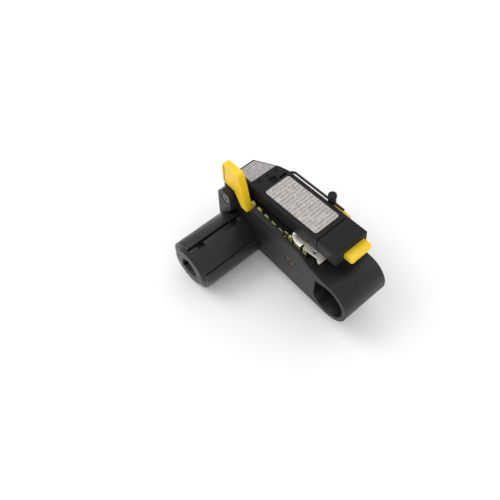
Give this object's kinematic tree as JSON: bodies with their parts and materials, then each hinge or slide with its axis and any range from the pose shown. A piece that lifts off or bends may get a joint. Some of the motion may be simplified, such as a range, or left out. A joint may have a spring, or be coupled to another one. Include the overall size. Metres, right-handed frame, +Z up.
{
  "type": "rotary coaxial cable stripper",
  "caption": "Hand-turned coaxial cable stripper: round cable guide, finger ring, hinged blade arm with yellow lever and pull tab.",
  "frame": {"origin": "on the cable axis, in the plane of the frame's front face", "axes": "+X from the cable guide to the finger ring, +Y from the front face to the back face with the cable entering along +Y, +Z up towards the hinged arm"},
  "size_m": [0.1083, 0.0813, 0.0707],
  "materials": {
    "frame_plastic": "satin moulded",
    "guide_plastic": "satin turned",
    "arm_plastic": "satin moulded",
    "yellow_plastic": "moulded",
    "pale_yellow_plastic": "moulded",
    "silver_label": "printed film",
    "bright_steel": "polished",
    "spring_steel": "drawn",
    "dark_steel": "blackened",
    "zinc_screw": "plated",
    "blade_steel": "ground",
    "nylon": "moulded"
  },
  "bodies": {
    "frame": {"body_frame": "frame_plastic", "guide_sleeve": "guide_plastic", "frame_screw": "dark_steel", "pivot_screw": "zinc_screw", "pivot_clip": "spring_steel", "hinge_spring": "spring_steel", "lever_pin": "zinc_screw"},
    "core": {"guide_core": "guide_plastic", "cable_bushing": "guide_plastic"},
    "arm": {"arm_housing": "arm_plastic", "arm_base": "arm_plastic", "arm_base_screws": "zinc_screw", "pusher": "nylon", "main_label": "silver_label", "end_label": "silver_label", "end_block": "arm_plastic", "tab_spring": "spring_steel", "catch_plate": "bright_steel", "leaf_plate": "bright_steel", "plate_rivets": "bright_steel", "plate_retainer": "pale_yellow_plastic"},
    "tab": {"pull_tab": "yellow_plastic"},
    "button": {"lock_button": "arm_plastic"},
    "rod": {"stop_rod": "dark_steel"},
    "collar": {"stop_collar": "dark_steel"},
    "knob": {"stop_knob": "frame_plastic"},
    "side_slide": {"side_slide": "pale_yellow_plastic"},
    "lever": {"thumb_lever": "yellow_plastic", "drive_pin": "zinc_screw"},
    "rack": {"depth_rack": "pale_yellow_plastic", "rack_hook": "spring_steel"},
    "carriage": {"blade_carriage": "nylon", "jacket_blade": "blade_steel", "braid_blade": "blade_steel", "core_blade": "blade_steel", "blade_pin": "zinc_screw"},
    "block": {"cable_block": "nylon"},
    "screw": {"adjust_screw": "zinc_screw"}
  },
  "joints": [
    {"name": "arm_hinge", "type": "hinge", "parent": "frame", "child": "arm", "pos_m": [-0.0083, 0, 0.029], "axis": [0, -1, 0], "range_deg": [0, 28], "stiffness_Nm_per_rad": 0.06, "springref_deg": 5.73},
    {"name": "carriage_slide", "type": "slide", "parent": "frame", "child": "carriage", "axis": [0, 0, 1], "range_m": [0, 0.0036]},
    {"name": "core_slide", "type": "slide", "parent": "frame", "child": "core", "axis": [0, -1, 0], "range_m": [0, 0.05]},
    {"name": "tab_push", "type": "slide", "parent": "arm", "child": "tab", "axis": [-0.9956, 0, -0.0941], "range_m": [0, 0.0016], "stiffness_N_per_m": 400, "springref_m": -0.0005},
    {"name": "button_push", "type": "slide", "parent": "arm", "child": "button", "axis": [0.0941, 0, -0.9956], "range_m": [0, 0.001], "stiffness_N_per_m": 400, "springref_m": -0.0005},
    {"name": "rod_swing", "type": "hinge", "parent": "arm", "child": "rod", "pos_m": [0.00599, 0.0354, 0.03507], "axis": [0, -1, 0], "range_deg": [0, 90]},
    {"name": "collar_slide", "type": "slide", "parent": "rod", "child": "collar", "axis": [0.9956, 0, 0.0941], "range_m": [-0.026, 0.006]},
    {"name": "knob_turn", "type": "hinge", "parent": "collar", "child": "knob", "pos_m": [0.04104, 0.0354, 0.04371], "axis": [-0.0941, 0, 0.9956], "range_deg": [0, 720]},
    {"name": "side_slide_travel", "type": "slide", "parent": "arm", "child": "side_slide", "axis": [0.9956, 0, 0.0941], "range_m": [-0.02, 0]},
    {"name": "lever_hinge", "type": "hinge", "parent": "frame", "child": "lever", "pos_m": [0.003, 0, 0.0204], "axis": [0, 1, 0], "range_deg": [0, 16]},
    {"name": "rack_slide", "type": "slide", "parent": "frame", "child": "rack", "axis": [1, 0, 0], "range_m": [0, 0.002]},
    {"name": "screw_turn", "type": "hinge", "parent": "frame", "child": "screw", "pos_m": [0, 0.0156, -0.012], "axis": [0, 0, 1], "range_deg": [0, 770]},
    {"name": "block_lift", "type": "slide", "parent": "frame", "child": "block", "axis": [0, 0, 1], "range_m": [0, 0.00149]}
  ],
  "couplings": [
    {"joint": "carriage_slide", "follows": "arm_hinge", "m_per_rad": 0.007},
    {"joint": "rack_slide", "follows": "lever_hinge", "m_per_rad": 0.007},
    {"joint": "screw_turn", "follows": "block_lift", "rad_per_m": 8976}
  ]
}
